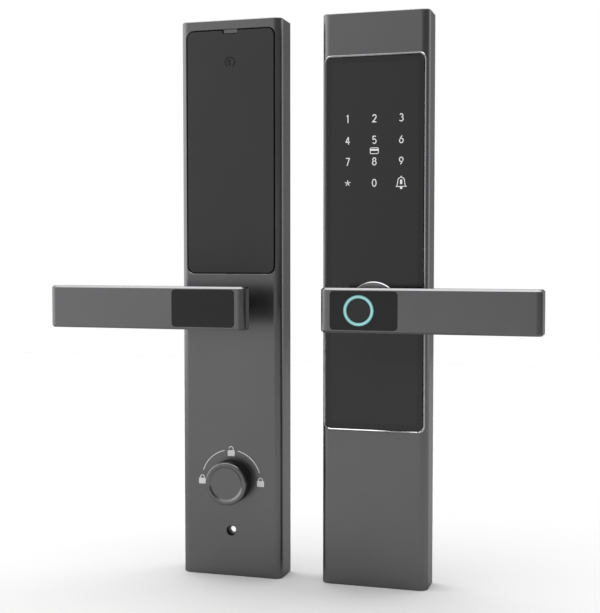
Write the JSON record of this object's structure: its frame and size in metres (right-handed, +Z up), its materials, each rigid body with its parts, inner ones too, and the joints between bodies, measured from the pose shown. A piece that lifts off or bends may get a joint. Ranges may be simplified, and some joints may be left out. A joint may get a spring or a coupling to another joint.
{
  "type": "keypad smart lock",
  "caption": "Keypad smart lock as an exterior and an interior lever escutcheon side by side, with touch glass, fingerprint lever, battery cover and thumb-turn.",
  "frame": {"origin": "on the ground, midway between the two lever tips across and midway between the door face and the levers' faces in depth", "axes": "+Z up the housings, +Y from the decorated faces towards the door, +X from the interior unit to the exterior unit"},
  "size_m": [0.326, 0.067, 0.38],
  "materials": {
    "housing_metal": "satin dark grey anodised",
    "lever_metal": "satin dark grey anodised",
    "bezel_metal": "dark grey, bright bevel",
    "collar_chrome": "dark plating, polished",
    "panel_glass": "black backed, gloss",
    "cover_black": "matte",
    "inlay_black": "gloss",
    "sensor_dark": "gloss",
    "ring_light": "glowing cyan",
    "knob_metal": "satin",
    "steel": "zinc plated",
    "spring_steel": "oiled",
    "brass": "turned",
    "seal_rubber": "matte",
    "board_green": "matte",
    "chip_black": "matte",
    "diffuser_white": "matte",
    "tray_plastic": "matte",
    "socket_plastic": "matte",
    "copper": "etched",
    "cell_jacket": "satin jacket",
    "button_red": "matte"
  },
  "bodies": {
    "housings": {"exterior_housing": "housing_metal", "exterior_back_plate": "steel", "exterior_gasket": "seal_rubber", "exterior_plate_screws": "steel", "exterior_fixing_posts": "brass", "keypad_bezel": "bezel_metal", "touch_glass": "panel_glass", "key_light_guide": "diffuser_white", "touch_board": "board_green", "touch_board_chips": "chip_black", "card_antenna": "copper", "exterior_cable_socket": "socket_plastic", "speaker": "chip_black", "emergency_port": "steel", "port_board": "board_green", "clutch_motor": "steel", "motor_bracket": "tray_plastic", "outside_collar": "collar_chrome", "outside_lever_spring": "spring_steel", "interior_housing": "housing_metal", "interior_back_plate": "steel", "interior_gasket": "seal_rubber", "interior_plate_screws": "steel", "battery_tray": "tray_plastic", "batteries": "cell_jacket", "battery_contacts": "spring_steel", "service_board": "board_green", "set_switch": "chip_black", "battery_socket": "socket_plastic", "control_board": "board_green", "control_board_chips": "chip_black", "buzzer": "chip_black", "interior_cable_socket": "socket_plastic", "inside_collar": "collar_chrome", "inside_lever_spring": "spring_steel", "thumb_turn_bush": "brass", "thumb_turn_washer": "spring_steel"},
    "outside_lever": {"outside_lever": "lever_metal", "outside_lever_neck": "lever_metal", "outside_lever_screws": "steel", "outside_lever_clip": "spring_steel", "outside_lever_inlay": "inlay_black", "fingerprint_sensor": "sensor_dark", "fingerprint_ring": "ring_light", "fingerprint_board": "board_green"},
    "inside_lever": {"inside_lever": "lever_metal", "inside_lever_neck": "lever_metal", "inside_lever_screws": "steel", "inside_lever_clip": "spring_steel", "inside_lever_inlay": "inlay_black"},
    "thumb_turn": {"thumb_turn_knob": "knob_metal", "thumb_turn_shaft": "steel", "thumb_turn_clip": "spring_steel"},
    "battery_cover": {"battery_cover": "cover_black"},
    "set_button": {"set_button": "button_red"},
    "clutch_worm": {"clutch_worm": "brass"},
    "clutch_slider": {"clutch_slider": "socket_plastic"}
  },
  "joints": [
    {"name": "outside_lever_turn", "type": "hinge", "parent": "housings", "child": "outside_lever", "pos_m": [0.05, 0, 0.187], "axis": [0, 1, 0], "range_deg": [0, 45], "stiffness_Nm_per_rad": 0.8, "springref_deg": -28.65},
    {"name": "inside_lever_turn", "type": "hinge", "parent": "housings", "child": "inside_lever", "pos_m": [-0.05, 0, 0.187], "axis": [0, -1, 0], "range_deg": [0, 45], "stiffness_Nm_per_rad": 0.8, "springref_deg": -28.65},
    {"name": "thumb_turn_rotate", "type": "hinge", "parent": "housings", "child": "thumb_turn", "pos_m": [-0.05, 0, 0.066], "axis": [0, -1, 0], "range_deg": [-90, 90]},
    {"name": "battery_cover_lift", "type": "slide", "parent": "housings", "child": "battery_cover", "axis": [0, -1, 0], "range_m": [0, 0.06]},
    {"name": "set_button_press", "type": "slide", "parent": "housings", "child": "set_button", "axis": [0, 1, 0], "range_m": [0, 0.001], "stiffness_N_per_m": 800, "springref_m": -0.0005},
    {"name": "clutch_worm_turn", "type": "hinge", "parent": "housings", "child": "clutch_worm", "pos_m": [0.05, 0.0225, 0.14], "axis": [0, 0, 1], "range_deg": [0, 900]},
    {"name": "clutch_slider_travel", "type": "slide", "parent": "housings", "child": "clutch_slider", "axis": [0, 0, 1], "range_m": [0, 0.0025]}
  ],
  "couplings": [
    {"joint": "clutch_worm_turn", "follows": "clutch_slider_travel", "rad_per_m": 6283.1}
  ]
}
